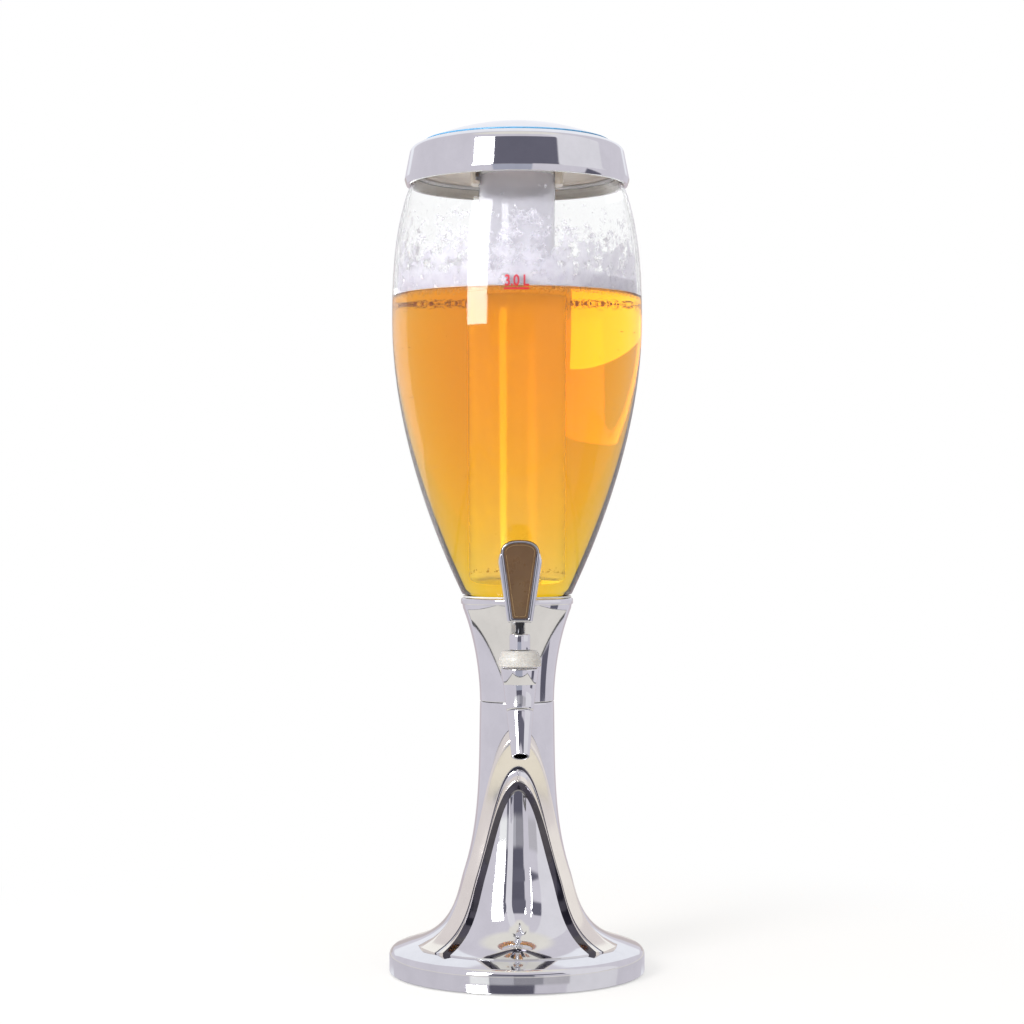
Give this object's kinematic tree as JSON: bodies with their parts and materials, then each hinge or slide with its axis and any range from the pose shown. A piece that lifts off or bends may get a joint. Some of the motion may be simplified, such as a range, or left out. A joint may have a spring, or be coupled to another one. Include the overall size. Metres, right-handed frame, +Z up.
{
  "type": "beer tower dispenser",
  "caption": "Tall table-top drinks tower: chrome pedestal with stepped arches, clear bulging vessel with a hanging ice tube, domed chrome lid and a lever tap on the stem.",
  "frame": {"origin": "on the table, under the middle of the round foot", "axes": "+Z up the tower's axis, the tap faces -Y, +X is to the right of a person who looks at the tap"},
  "size_m": [0.173, 0.173, 0.575],
  "materials": {
    "chrome_plating": "bright chrome plating on moulded plastic",
    "clear_plastic": "clear glossy plastic",
    "white_translucent": "frosted translucent white plastic",
    "white_plastic": "satin white plastic",
    "white_nylon": "satin natural nylon",
    "ivory_plastic": "satin ivory plastic",
    "clear_silicone": "soft translucent silicone",
    "grey_plastic": "satin grey plastic",
    "black_plastic": "fine-grained black plastic",
    "foam_pad": "matt non-slip foam",
    "cast_iron": "raw casting",
    "steel": "bright stainless steel",
    "dark_metal": "dark plated metal",
    "brown_plate": "satin brown enamel"
  },
  "bodies": {
    "pedestal": {"pedestal_shell": "chrome_plating", "bayonet_ring": "grey_plastic", "ballast_ring": "cast_iron", "bottom_cover": "black_plastic", "cover_screw_1": "steel", "cover_screw_2": "steel", "cover_screw_3": "steel", "cover_screw_4": "steel", "base_pad": "foam_pad"},
    "tower": {"stem_collar": "chrome_plating", "vessel": "clear_plastic", "neck_gasket": "clear_silicone", "tap_body": "chrome_plating", "spout_nozzle": "chrome_plating", "tap_gasket": "clear_silicone", "neck_washer": "clear_silicone", "shank_nut": "white_plastic", "bonnet_nut": "white_nylon", "valve_spring": "steel"},
    "plunger": {"plunger_rod": "steel", "valve_plug": "clear_silicone"},
    "lever": {"lever_hub": "chrome_plating", "pivot_pin": "steel", "handle_stud": "dark_metal", "handle_shell": "chrome_plating", "handle_plate": "brown_plate"},
    "lid": {"lid_shell": "chrome_plating", "lid_liner": "ivory_plastic", "lid_seal": "clear_silicone"},
    "ice_tube_body": {"ice_tube": "white_translucent", "tube_seal": "clear_silicone"}
  },
  "joints": [
    {"name": "stem_twist", "type": "hinge", "parent": "pedestal", "child": "tower", "pos_m": [0, 0, 0.183], "axis": [0, 0, 1], "range_deg": [0, 30]},
    {"name": "lid_lift", "type": "slide", "parent": "tower", "child": "lid", "axis": [0, 0, 1], "range_m": [0, 0.29]},
    {"name": "tube_twist", "type": "hinge", "parent": "lid", "child": "ice_tube_body", "pos_m": [0, 0, 0.537], "axis": [0, 0, 1], "range_deg": [0, 40]},
    {"name": "plunger_lift", "type": "slide", "parent": "tower", "child": "plunger", "axis": [0, 0, 1], "range_m": [0, 0.003], "deforming": ["valve_spring"]},
    {"name": "lever_tilt", "type": "hinge", "parent": "plunger", "child": "lever", "pos_m": [0, -0.06, 0.2258], "axis": [1, 0, 0], "range_deg": [0, 30], "stiffness_Nm_per_rad": 0.3, "springref_deg": -11.46}
  ],
  "couplings": [
    {"joint": "plunger_lift", "follows": "lever_tilt", "m_per_rad": 0.0055}
  ]
}
